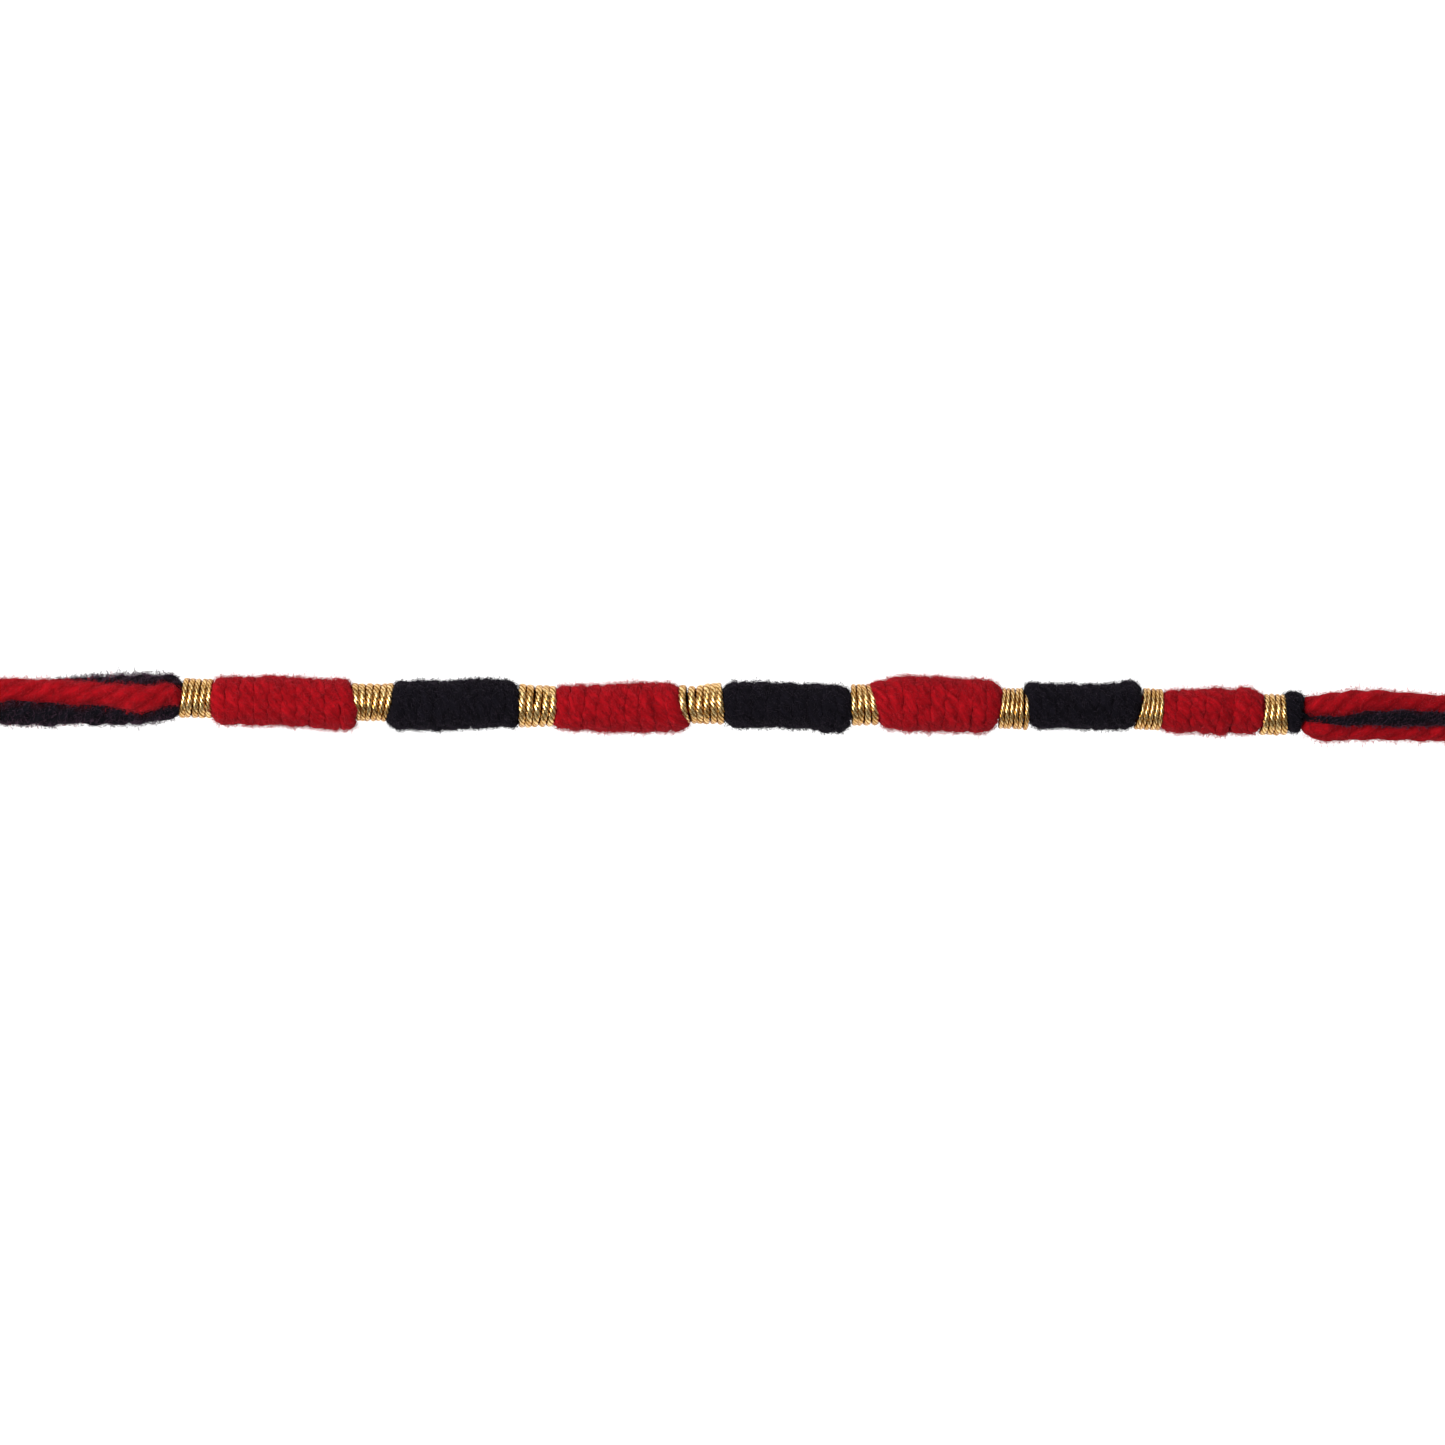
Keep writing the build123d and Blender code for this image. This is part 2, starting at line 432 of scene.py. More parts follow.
WOOL_STOPS = (0.25, 0.5, 0.78)
WOOL_BLOTCHES = [(0.3, (0.80, 0.78, 0.78)), (0.7, (1.12, 1.12, 1.12))]
# Painted shade by the mesh's crest value: darker down between plies and between turns, a little
# lighter on the crests
WOOL_GROOVE_SHADE = [
    (0.0, (0.66, 0.60, 0.60)),
    (0.5, (0.93, 0.92, 0.92)),
    (0.9, (1.05, 1.05, 1.05)),
]


def wool_material(name, deep, middle, light, meeting, sheen, sheen_tint):
    """Plied wool: streaks of fibres along each ply, with painted shade down between plies and turns.

    Where a yarn meets another, its colour blends into the meeting colour: on red wool the black yarn's
    fibres and painted shade at the seam, on black wool the red yarn's fibres.
    """
    material, tree, shader = new_material(name)
    place = tree.nodes.new("ShaderNodeTexCoord").outputs["Object"]
    lay = attribute(tree, "lay", "Vector")
    streaks = noise_texture(tree, lay, scale=5.5, detail=4.0, roughness=0.65)
    blotches = noise_texture(tree, place, scale=700.0, detail=2.0, roughness=0.5)
    colour = ramp(tree, streaks, list(zip(WOOL_STOPS, (deep, middle, light))))
    colour = multiply(tree, colour, ramp(tree, blotches, WOOL_BLOTCHES))
    colour = multiply(tree, colour, ramp(tree, attribute(tree, "crest"), WOOL_GROOVE_SHADE))
    # At a seam: painted shade and the black yarn's fibres on red wool, the red yarn's fibres on black
    # wool
    colour = mix(tree, attribute(tree, "border"), colour, (*meeting, 1.0))
    looks = {
        "Base Color": colour,
        "Roughness": 0.92,
        "Specular IOR Level": 0.06,
        "Sheen Weight": sheen,
        "Sheen Roughness": 0.45,
        "Sheen Tint": (*sheen_tint, 1.0),
        "Normal": bump(tree, streaks, strength=0.75, distance=0.06 * MM),
    }
    feed(tree, shader, looks)
    return material


def fibre_material(name, dark, light, sheen_tint):
    """Single fibres standing off the wool, each in its own shade, with painted light on the strand's
    long sides.
    """
    material, tree, shader = new_material(name)
    looks = {
        "Base Color": ramp(tree, attribute(tree, "shade"), [(0.0, dark), (1.0, light)]),
        "Roughness": 0.8,
        "Specular IOR Level": 0.1,
        "Sheen Weight": 0.05,
        "Sheen Tint": (*sheen_tint, 1.0),
    }
    feed(tree, shader, looks)
    return material


# The crest value's colours: painted shade in the grooves at 0, the gold's own colour on the crests
GOLD_AND_GROOVE_SHADE = [
    (0.0, (0.10, 0.028, 0.002)),
    (0.45, (0.46, 0.20, 0.026)),
    (0.85, (1.0, 0.74, 0.36)),
]
GOLD_TARNISH = [(0.3, (0.74, 0.64, 0.46)), (0.6, (1.0, 1.0, 1.0))]


def gold_material(name):
    """Metallised strip thread: bright worn facets, with painted shade down between the strips."""
    material, tree, shader = new_material(name)
    lay = attribute(tree, "lay", "Vector")
    scratches = noise_texture(tree, lay, scale=9.0, detail=3.0, roughness=0.6)
    metal_and_shade = ramp(tree, attribute(tree, "crest"), GOLD_AND_GROOVE_SHADE)
    rough = tree.nodes.new("ShaderNodeMapRange")
    spans = {"From Min": 0.3, "From Max": 0.7, "To Min": 0.16, "To Max": 0.36}
    feed(tree, rough, {"Value": scratches, **spans})
    looks = {
        "Base Color": multiply(tree, metal_and_shade, ramp(tree, scratches, GOLD_TARNISH)),
        "Metallic": 1.0,
        "Roughness": rough.outputs["Result"],
        "Normal": bump(tree, scratches, strength=0.5, distance=0.02 * MM),
    }
    feed(tree, shader, looks)
    return material


WOOL = {
    "red": wool_material(
        "red_wool",
        deep=(0.18, 0.0013, 0.0036),
        middle=(0.285, 0.0028, 0.0066),
        light=(0.40, 0.0058, 0.0115),
        # A darker red at the seam: the black yarn's fibres and painted shade
        meeting=(0.07, 0.0015, 0.004),
        sheen=0.16,
        sheen_tint=(1.0, 0.10, 0.14),
    ),
    "black": wool_material(
        "black_wool",
        deep=(0.0020, 0.0016, 0.0028),
        middle=(0.0040, 0.0034, 0.0056),
        light=(0.0085, 0.0070, 0.0115),
        meeting=(0.022, 0.002, 0.004),
        sheen=0.02,
        sheen_tint=(0.75, 0.62, 0.85),
    ),
}
FIBRE = {
    "red": fibre_material(
        "red_fibre",
        dark=(0.20, 0.002, 0.005),
        light=(0.66, 0.022, 0.036),
        sheen_tint=(1.0, 0.3, 0.35),
    ),
    "black": fibre_material(
        "black_fibre",
        dark=(0.0028, 0.0022, 0.0038),
        light=(0.026, 0.017, 0.028),
        sheen_tint=(0.8, 0.7, 0.9),
    ),
    "loose black": fibre_material(
        "loose_black_fibre",
        dark=(0.005, 0.0018, 0.0038),
        light=(0.095, 0.047, 0.078),
        sheen_tint=(0.9, 0.6, 0.9),
    ),
}
GOLD = gold_material("gold_thread")
LOOSE = {"red": "red", "black": "loose black"}


# Fibres. Each is a thin spindle: a root, a ring round its middle and a tip.

FIBRE_SIDES = 3
FIBRE_POINTS = FIBRE_SIDES + 2
FIBRE_CUTS = np.array([[0.0], [0.5], [1.0]])
# The height at the root, the middle and the tip: a loop comes back down, a free end stays up
LOOP_ARCH = np.array([[0.0], [1.0], [0.0]])
FREE_ARCH = np.array([[0.0], [0.85], [0.9]])
LOOP_SHARE = 0.72
FIBRE_RADIUS = {"red": 0.015 * MM, "black": 0.018 * MM, "loose black": 0.021 * MM}
FIBRE_SIZE = {"red": 1.0, "black": 0.78, "loose black": 0.82}
# The mean and the spread of the angle between a fibre and the way along
FIBRE_LEAN = (0.65, 0.75)
FIBRE_CURL = 0.4
ROOT_DEPTH = 0.02 * MM
FIBRE_LOWEST = 0.02 * MM
# How even the lengths and the heights are
LENGTH_EVENNESS = 6.0
HEIGHT_EVENNESS = 3.5
# A fibre that stands off the wool, beside one that lies matted on it
STANDING_LENGTH = 0.85
STANDING_HEIGHT = 2.4
# Thinner and thicker fibres, as shares of their colour's radius
THICKNESS_RANGE = (0.7, 1.3)
# A fibre's shade: partly random, and lighter on the strand's long sides as painted light
RANDOM_SHADE = 0.55
SIDE_PAINTED_LIGHT = 0.45
# How dense fibres are on top, and how much denser on the long sides
TOP_DENSITY = 0.65
SIDE_DENSITY = 0.9
# Keeps a ring's first way off the fibre's own
RING_TILT = 0.3
FIBRES_PER_MM2 = 30.0
FIBRE_SEED = 500
# A fibre's length and height, the share that stands off and the radius it bends round. The
# lengths are in millimetres.
Habit = namedtuple("Habit", "reach rise halo bend_radius")
ON_WRAPS = Habit(reach=0.62, rise=0.10, halo=0.65, bend_radius=2.3)
ON_YARNS = Habit(reach=0.62, rise=0.13, halo=0.65, bend_radius=1.3)
AT_CUTS = Habit(reach=0.5, rise=0.55, halo=1.0, bend_radius=2.3)


def facing_sideways(ways):
    """1 where a surface faces a long side of the strand, 0 on top and below."""
    return np.abs(ways[..., 1]) ** 3


def fibre_faces():
    """One fibre's triangles, from its root to the ring and from the ring to its tip."""
    faces = []
    for k in range(FIBRE_SIDES):
        n = (k + 1) % FIBRE_SIDES
        faces.append((0, 1 + n, 1 + k))
        faces.append((1 + k, 1 + n, FIBRE_POINTS - 1))
    return np.array(faces)


def fibres(name, colour, roots, out, along, size, seed, habit):
    """Curved fibres on a surface: roots, the way out, the way along and a size, one row each."""
    draw = np.random.default_rng(seed)
    count = len(roots)
    each = (count, 1, 1)
    size = size.reshape(each) * FIBRE_SIZE[colour]
    roots, out, along = roots[:, None], out[:, None], along[:, None]
    side = np.cross(out, along)
    turn = draw.normal(*FIBRE_LEAN, each)
    flat = unit(along * np.cos(turn) + side * np.sin(turn))
    flat = flat * np.where(draw.random(each) < 0.5, -1, 1)
    stands = draw.random(each) < habit.halo
    length = draw.gamma(LENGTH_EVENNESS, habit.reach / LENGTH_EVENNESS, each) * MM
    length = length * np.where(stands, STANDING_LENGTH, 1.0) * size
    high = draw.gamma(HEIGHT_EVENNESS, habit.rise / HEIGHT_EVENNESS, each) * MM
    high = high * np.where(stands, STANDING_HEIGHT, 1.0) * size
    loops = (draw.random(each) < LOOP_SHARE) | ~stands
    curl = np.cross(flat, out) * draw.normal(0, FIBRE_CURL, each)
    drop = length**2 / (2 * habit.bend_radius * MM)
    t = FIBRE_CUTS
    height = high * np.where(loops, LOOP_ARCH, FREE_ARCH) - ROOT_DEPTH - drop * t * t
    centre = roots + length * (flat * t + curl * t * t) + out * height
    centre[..., 2] = np.maximum(centre[..., 2], FIBRE_LOWEST)
    root, middle, tip = centre[:, :1], centre[:, 1:2], centre[:, 2:]
    ahead = unit(tip - root)
    one = unit(np.cross(ahead, out + RING_TILT * side))
    two = np.cross(ahead, one)
    thick = FIBRE_RADIUS[colour] * draw.uniform(*THICKNESS_RANGE, each)
    ring = []
    for k in range(FIBRE_SIDES):
        angle = TURN * k / FIBRE_SIDES
        ring.append(middle + thick * (one * math.cos(angle) + two * math.sin(angle)))
    vertices = np.concatenate([root, *ring, tip], axis=1)
    faces = (fibre_faces() + FIBRE_POINTS * np.arange(count)[:, None, None]).reshape(-1, 3)
    # Painted light: fibres on the strand's long sides are lighter
    shade = RANDOM_SHADE * draw.random(count) + SIDE_PAINTED_LIGHT * facing_sideways(out[:, 0])
    shade = np.repeat(shade, FIBRE_POINTS)
    piece = make_mesh(name, vertices, faces, FIBRE[colour], shade=shade)
    return piece


def surface_fibres(name, colour, points, keep, size, seed, habit):
    """Fibres spread over a grid of surface points, as dense as keep says and as big as size says."""
    draw = np.random.default_rng(seed + FIBRE_SEED)
    ahead = np.gradient(points, axis=0)
    around = np.roll(points, -1, axis=1) - np.roll(points, 1, axis=1)
    normal = np.cross(around / 2, ahead)
    area = np.linalg.norm(normal, axis=-1)
    middle = points.mean(axis=1, keepdims=True)
    outward = np.sign((normal * (points - middle)).sum(axis=-1, keepdims=True))
    out = unit(normal) * outward
    weight = area * keep * (TOP_DENSITY + SIDE_DENSITY * facing_sideways(out))
    count = int(weight.sum() / MM**2 * FIBRES_PER_MM2)
    chosen = draw.choice(weight.size, count, p=weight.ravel() / weight.sum())
    grids = (points, ahead, around, out)
    roots, ahead, around, out = (grid.reshape(-1, 3)[chosen] for grid in grids)
    # Half a row to each side, and half a column, where around spans two columns
    jitter = draw.uniform(-0.5, 0.5, (count, 1)) * ahead
    jitter += draw.uniform(-0.25, 0.25, (count, 1)) * around
    size = size.ravel()[chosen]
    return fibres(name, colour, roots + jitter, out, unit(ahead), size, seed, habit)


# Plies, for the yarns and for the wool of the wraps

PLIES = 4
HALF_PLY = math.pi / PLIES
# How far out each ply's own middle lies, as a share of the thread's radius
YARN_PLY_MIDDLE = 0.46
WRAP_PLY_MIDDLE = 0.42
# Streaks of fibres are longer along the thread than across it
STREAKS_ALONG = 0.28
# The least height above the floor
LOWEST = 0.01 * MM


def ply_profile(angle, middle_share):
    """The outline of a plied thread, as a share of its radius, and how near the ply's crest."""
    off = np.mod(angle + HALF_PLY, 2 * HALF_PLY) - HALF_PLY
    reach = 1 - middle_share
    bow = np.maximum(reach**2 - (middle_share * np.sin(off)) ** 2, 0)
    return middle_share * np.cos(off) + np.sqrt(bow), 1 - np.abs(off) / HALF_PLY


def lay_of(angle, radius, along):
    """Where a point lies in the material's streaks: round the thread and along it."""
    places = np.broadcast_arrays(np.cos(angle) * radius, np.sin(angle) * radius, along)
    return np.stack(places, axis=-1)


# The four yarns

# Rows of points along X, close together in the free ends, where they show
YARN_END = 77.05 * MM
FINE_STEP = 0.115 * MM
COARSE_STEP = 0.9 * MM
ROW_STRETCHES = (
    (-YARN_END, LEFT_MOUTH + 0.6 * MM, FINE_STEP),
    (LEFT_MOUTH + 1.2 * MM, RIGHT_MOUTH - 1.0 * MM, COARSE_STEP),
    (RIGHT_MOUTH - 0.5 * MM, YARN_END, FINE_STEP),
)
YARN_X = np.concatenate([np.arange(*stretch) for stretch in ROW_STRETCHES])
YARN_COLUMNS = 40
COLUMN_ANGLES = np.arange(YARN_COLUMNS) * TURN / YARN_COLUMNS
COLUMN_WAYS = np.stack([np.cos(COLUMN_ANGLES), np.sin(COLUMN_ANGLES)], axis=-1)
CUT_ROUNDING = 0.8 * MM
LEAST_TO_CUT = 0.02

# The plies: thick yarn twists slowly, and each ply swells and thins on its own
PLY_LEAD = 9.0 * MM
LEAD_SHARE = 0.45
FULL_RADIUS = 1.05 * MM
FULLNESS_RANGE = (0.5, 1.3)
PLY_DEPTH = {"red": 0.55, "black": 0.9}
MEAN_PROFILE = 0.95
BULGE = {"red": 0.07, "black": 0.17}
BULGE_LENGTH = 1.7 * MM
BULGE_SEED = 100
YARN_WANDER = ((0.35, 2.6 * MM, 0), (0.15, 0.9 * MM, 50))
YARN_SWELL = ((0.05, 3.1 * MM, 70),)
YARN_GRAIN = ((0.09 * MM, 0.42 * MM, 0.6, 5), (0.04 * MM, 0.19 * MM, 0.8, 6))
ROUGHNESS = {"red": 0.6, "black": 1.6}
# Yarn of this radius is fully rough, thinner yarn less
ROUGH_RADIUS = 0.85 * MM
LEAST_ROUGH = 0.1

# Where two yarns meet, each is pressed flat against a wall between them
WALL_GAP = 0.015 * MM
LEAST_WALL = 0.3
SEAM_WAVE = 0.15 * MM
SEAM_LENGTH = 1.1 * MM
SEAM_SEED = 900
FLOOR_GAP = 0.03 * MM
# The least cosine at which a direction faces a wall, a reach that no wall limits, and how near a
# wall a point touches it
FACING = 0.05
FAR = 1.0
TOUCHING = 1.02
# The border with another yarn: its width in columns, how it fades, how strongly it takes the meeting
# colour, how much denser its fibres are and how much shorter. On red wool the meeting colour is the
# black yarn's fibres and painted shade at the seam; on black wool it is the red yarn's fibres.
BORDER_COLUMNS = 4
BORDER_START = 1.2
BORDER_FALL = 0.24
SEAM_TINT_AND_SHADE = {"red": 0.60, "black": 0.95}
BORDER_FIBRES = {"red": 0.1, "black": 1.3}
BORDER_SHORT = {"red": 0.60, "black": 0.30}

# How fluffy each yarn is along its length, in millimetres
FLUFF = {
    "red_yarn_1": [(-60.0, 1.0), (60.0, 0.9)],
    "red_yarn_2": [(-60.0, 1.0), (60.0, 0.9)],
    "black_yarn_1": [
        (-62.0, 0.4), (-59.5, 1.0), (-57.0, 2.0), (-50.5, 2.0), (-48.9, 1.0), (52.0, 0.8), (56.0, 1.1),
    ],
    "black_yarn_2": [(-60.0, 1.0), (-54.0, 1.3), (-50.5, 1.4), (-48.9, 1.0), (60.0, 1.0)],
}
# No fibres stand lower than this
YARN_FIBRES_FROM = 0.15 * MM

# The fray of a cut end
CUT_FIBRES = 260
CUT_ROW = 8
CUT_SPRAY = 0.25
CUT_INWARD = 0.8
CUT_SEED = 800
CUT_FIBRE_SEED = 30


def ply_pattern(yarn, radius):
    """The plies round a yarn: their angle, how near a crest and how far out, at each point."""
    wander = waves(YARN_WANDER, YARN_X, yarn.seed)
    lead = PLY_LEAD * partly(LEAD_SHARE, np.clip(radius / FULL_RADIUS, *FULLNESS_RANGE))
    turned = np.concatenate([[0], np.cumsum(np.diff(YARN_X) / lead[1:] * TURN)])
    angle = COLUMN_ANGLES + turned[:, None] + wander[:, None] + yarn.seed
    profile, crest = ply_profile(angle, YARN_PLY_MIDDLE)
    ply = np.floor((angle + HALF_PLY) / (2 * HALF_PLY)).astype(int) % PLIES
    bulge = np.zeros_like(profile)
    for k in range(PLIES):
        wave = smooth_noise(YARN_X / BULGE_LENGTH, yarn.seed + BULGE_SEED + k)
        bulge += np.where(ply == k, wave[:, None], 0) * crest * BULGE[yarn.wool]
    swell = waves(YARN_SWELL, YARN_X, yarn.seed)[:, None]
    depth = PLY_DEPTH[yarn.wool]
    rho = radius[:, None] * (depth * profile + 1 - depth * MEAN_PROFILE + bulge + swell)
    return angle, crest, rho


def reach_to_wall(distance, facing):
    """How far a wall lets a yarn reach, in directions that face it by this cosine."""
    return np.where(facing > FACING, distance / np.maximum(facing, FACING), FAR)


def press_flat(yarn, centre, radius, rho):
    """Press a yarn flat against the others and the floor. free is 0 where another yarn touches."""
    free = np.ones_like(rho)
    for other in YARNS:
        if other is yarn:
            continue
        gap = across(other.name, YARN_X) - centre
        apart = np.linalg.norm(gap, axis=-1)
        wall = (apart**2 + radius**2 - yarn_radius(other, YARN_X) ** 2) / (2 * apart) - WALL_GAP
        wave = smooth_noise(YARN_X / SEAM_LENGTH, SEAM_SEED + yarn.seed + other.seed) * SEAM_WAVE
        wall = wall + wave * (1 if yarn.seed < other.seed else -1)
        wall = np.maximum(wall, LEAST_WALL * radius)
        facing = (COLUMN_WAYS * (gap / apart[:, None])[:, None]).sum(axis=-1)
        limit = reach_to_wall(wall[:, None], facing)
        free = np.where(limit < rho * TOUCHING, 0.0, free)
        rho = np.minimum(limit, rho)
    floor = reach_to_wall(centre[:, 1:] - FLOOR_GAP, -COLUMN_WAYS[:, 1])
    return np.minimum(rho, floor), free


def nearness_to_border(free):
    """Nearly 1 beside a border with another yarn, and 0 a few columns further on."""
    near = np.zeros_like(free)
    for step in range(1, BORDER_COLUMNS + 1):
        for way in (-step, step):
            edge = free - np.roll(free, way, axis=1)
            near = np.maximum(near, edge * (BORDER_START - BORDER_FALL * step))
    return near


def yarn_surface(yarn):
    """The yarn's surface as a grid of points, with what its material and its fibres need."""
    centre = across(yarn.name, YARN_X)
    to_end = np.clip((YARN_END - np.abs(YARN_X)) / CUT_ROUNDING, LEAST_TO_CUT, 1)
    radius = yarn_radius(yarn, YARN_X) * np.sqrt(to_end * (2 - to_end))
    ply_angle, crest, rho = ply_pattern(yarn, radius)
    rho, free = press_flat(yarn, centre, radius, rho)
    points = np.empty((*rho.shape, 3))
    points[..., 0] = YARN_X[:, None]
    points[..., 1:] = centre[:, None] + rho[..., None] * COLUMN_WAYS
    outside = ((YARN_X < LEFT_MOUTH) | (YARN_X > RIGHT_MOUTH))[:, None]
    rough = grain(YARN_GRAIN, points, yarn.seed) * ROUGHNESS[yarn.wool]
    rough *= outside * free * np.clip(radius / ROUGH_RADIUS, LEAST_ROUGH, 1)[:, None] ** 2
    points[..., 1:] += rough[..., None] * COLUMN_WAYS
    points[..., 2] = np.maximum(points[..., 2], LOWEST)
    along = YARN_X[:, None] / MM * STREAKS_ALONG + yarn.seed
    lay = lay_of(ply_angle, radius[:, None] / MM, along)
    near = nearness_to_border(free)
    fluff = np.interp(YARN_X / MM, *np.array(FLUFF[yarn.name]).T)[:, None]
    keep = free * outside * (points[..., 2] > YARN_FIBRES_FROM) * fluff
    keep = keep * (1 + BORDER_FIBRES[yarn.wool] * near)
    size = np.sqrt(fluff) * (1 - BORDER_SHORT[yarn.wool] * near)
    return points, {"lay": lay, "crest": crest, "border": near * SEAM_TINT_AND_SHADE[yarn.wool]}, keep, size


def cut_ends(yarn, points):
    """Loose fibres that splay out of a yarn's two cut ends."""
    draw = np.random.default_rng(yarn.seed + CUT_SEED)
    roots, ways = [], []
    for row, way in ((CUT_ROW, -1.0), (-1 - CUT_ROW, 1.0)):
        chosen = draw.integers(0, YARN_COLUMNS, CUT_FIBRES)
        middle = points[row].mean(axis=0)
        inward = np.sqrt(draw.uniform(0.0, CUT_INWARD, (CUT_FIBRES, 1)))
        roots.append(middle + (points[row][chosen] - middle) * inward)
        spray = draw.normal(0, CUT_SPRAY, (CUT_FIBRES, 3))
        spray[:, 0] = way
        ways.append(unit(spray))
    roots, ways = np.concatenate(roots), np.concatenate(ways)
    sideways = unit(np.cross(ways, draw.normal(0, 1, ways.shape)))
    size = np.ones(len(roots))
    name = yarn.name + "_end_fibres"
    seed = yarn.seed + CUT_FIBRE_SEED
    return fibres(name, LOOSE[yarn.wool], roots, ways, sideways, size, seed, AT_CUTS)


def make_yarn(yarn):
    """One yarn with its fibres and its frayed cut ends."""
    points, looks, keep, size = yarn_surface(yarn)
    piece = tube_mesh(yarn.name + "_plies", points, WOOL[yarn.wool], **looks)
    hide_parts(yarn.name)
    colour = LOOSE[yarn.wool]
    fuzz = surface_fibres(yarn.name + "_fibres", colour, points, keep, size, yarn.seed, ON_YARNS)
    tufts = cut_ends(yarn, points)


for yarn in YARNS:
    make_yarn(yarn)

# The wraps. turns is how many turns show. left and right are the wrap's ends on the +Y side, on top
# and on the -Y side. outline is X with the +Y and the -Y edge, all in millimetres.
Wrap = namedtuple("Wrap", "name kind turns left right outline")
WRAPS = [
    Wrap(
        "gold_wrap_1", "gold", 5, (-48.5, -48.46, -48.85), (-45.85, -45.8, -45.85),
        [(-48.6, 2.62, -0.80), (-46.0, 2.56, -0.85)],
    ),
    Wrap(
        "red_wrap_1", "red", 10, (-45.9, -45.8, -45.75), (-33.4, -33.0, -32.9),
        [
            (-45.9, 2.65, -1.30), (-45.2, 2.85, -1.52), (-43.5, 2.88, -1.55),
            (-42.0, 2.84, -1.62), (-40.3, 2.90, -1.58), (-37.5, 2.72, -1.72),
            (-35.0, 2.62, -2.00), (-33.9, 2.60, -2.08), (-33.1, 2.30, -1.95),
        ],
    ),
    Wrap(
        "gold_wrap_2", "gold", 6, (-33.4, -33.05, -33.0), (-29.55, -29.67, -30.2),
        [(-33.2, 2.14, -1.05), (-29.8, 2.12, -1.12)],
    ),
    Wrap(
        "black_wrap_1", "black", 9, (-29.55, -29.66, -30.3), (-18.3, -18.13, -18.3),
        [
            (-30.0, 2.20, -1.65), (-29.2, 2.45, -1.92), (-27.0, 2.52, -2.00),
            (-25.0, 2.48, -2.05), (-23.2, 2.62, -1.92), (-21.0, 2.62, -1.85),
            (-20.0, 2.52, -1.72), (-19.0, 2.36, -1.84), (-18.3, 2.12, -1.80),
        ],
    ),
    Wrap(
        "gold_wrap_3", "gold", 5, (-18.25, -18.17, -18.3), (-14.98, -14.88, -15.25),
        [(-18.1, 2.12, -1.66), (-16.6, 1.98, -1.62), (-15.1, 1.94, -1.58)],
    ),
    Wrap(
        "red_wrap_2", "red", 9, (-15.0, -14.88, -15.25), (-3.75, -3.78, -2.95),
        [
            (-15.0, 1.95, -1.90), (-14.2, 2.00, -1.98), (-12.8, 2.12, -2.04),
            (-11.5, 2.04, -2.18), (-9.2, 2.28, -2.22), (-7.4, 2.36, -2.20),
            (-5.6, 2.28, -2.20), (-4.3, 2.18, -2.24), (-3.4, 1.95, -2.00),
        ],
    ),
    Wrap(
        "gold_wrap_4", "gold", 6, (-3.85, -3.8, -3.45), (-0.05, 0.05, 0.1),
        [(-3.3, 1.98, -1.40), (-2.4, 1.88, -1.35), (-1.4, 2.15, -1.35), (-0.3, 2.22, -1.38)],
    ),
    Wrap(
        "black_wrap_2", "black", 9, (-0.05, 0.02, 0.15), (11.5, 11.48, 11.5),
        [
            (0.1, 2.20, -1.48), (0.9, 2.42, -1.68), (2.0, 2.40, -1.82),
            (3.8, 2.36, -1.80), (6.1, 2.24, -1.86), (7.9, 2.18, -1.95),
            (9.2, 2.12, -2.20), (10.6, 2.08, -2.26), (11.4, 1.92, -1.95),
        ],
    ),
    Wrap(
        "gold_wrap_5", "gold", 4, (11.5, 11.55, 11.6), (13.3, 13.79, 13.95),
        [(11.5, 2.05, -1.48), (13.8, 2.08, -1.48)],
    ),
    Wrap(
        "red_wrap_3", "red", 9, (13.15, 13.71, 14.05), (25.1, 24.84, 24.7),
        [
            (13.4, 2.35, -1.40), (14.6, 2.62, -1.82), (15.5, 2.80, -2.00), (16.4, 2.92, -2.18),
            (18.2, 2.86, -2.14), (20.0, 2.76, -2.14), (21.8, 2.60, -2.24), (23.2, 2.56, -2.30),
            (24.1, 2.42, -2.05), (24.9, 2.10, -1.80),
        ],
    ),
    Wrap(
        "gold_wrap_6", "gold", 6, (25.1, 24.9, 24.8), (27.4, 27.4, 27.42),
        [(25.0, 1.70, -1.78), (26.6, 1.75, -1.84), (27.3, 1.72, -1.96)],
    ),
    Wrap(
        "black_wrap_3", "black", 8, (27.1, 27.37, 27.62), (37.75, 37.46, 36.95),
        [
            (27.4, 2.45, -1.72), (28.0, 2.52, -1.82), (28.8, 2.24, -1.90), (30.4, 2.22, -1.92),
            (32.2, 2.20, -1.92), (33.2, 2.12, -2.02), (34.9, 2.26, -2.00), (35.8, 2.42, -2.00),
            (36.7, 2.54, -1.98), (37.4, 2.30, -1.80),
        ],
    ),
    Wrap(
        "gold_wrap_7", "gold", 5, (37.8, 37.53, 37.0), (39.55, 39.52, 39.4),
        [(37.2, 1.78, -1.85), (39.0, 1.64, -1.93), (39.6, 1.62, -1.98)],
    ),
    Wrap(
        "red_wrap_4", "red", 7, (39.6, 39.4, 39.4), (48.6, 48.44, 48.3),
        [
            (39.7, 1.62, -2.12), (40.7, 1.66, -2.26), (42.5, 1.72, -2.24),
            (43.9, 1.82, -2.34), (44.8, 1.90, -2.48), (45.7, 1.74, -2.26),
            (46.6, 1.90, -2.28), (47.5, 1.82, -2.44), (48.3, 1.50, -2.30),
        ],
    ),
    Wrap(
        "gold_wrap_8", "gold", 4, (48.7, 48.58, 48.35), (50.6, 50.57, 50.85),
        [(48.5, 1.20, -2.34), (50.7, 1.16, -2.34)],
    ),
    Wrap(
        "end_whipping", "black", 1, (50.45, 50.55, 50.83), (52.25, 51.9, 52.0),
        [(50.7, 1.45, -2.34), (51.3, 1.55, -2.34), (52.2, 1.42, -2.36)],
    ),
]
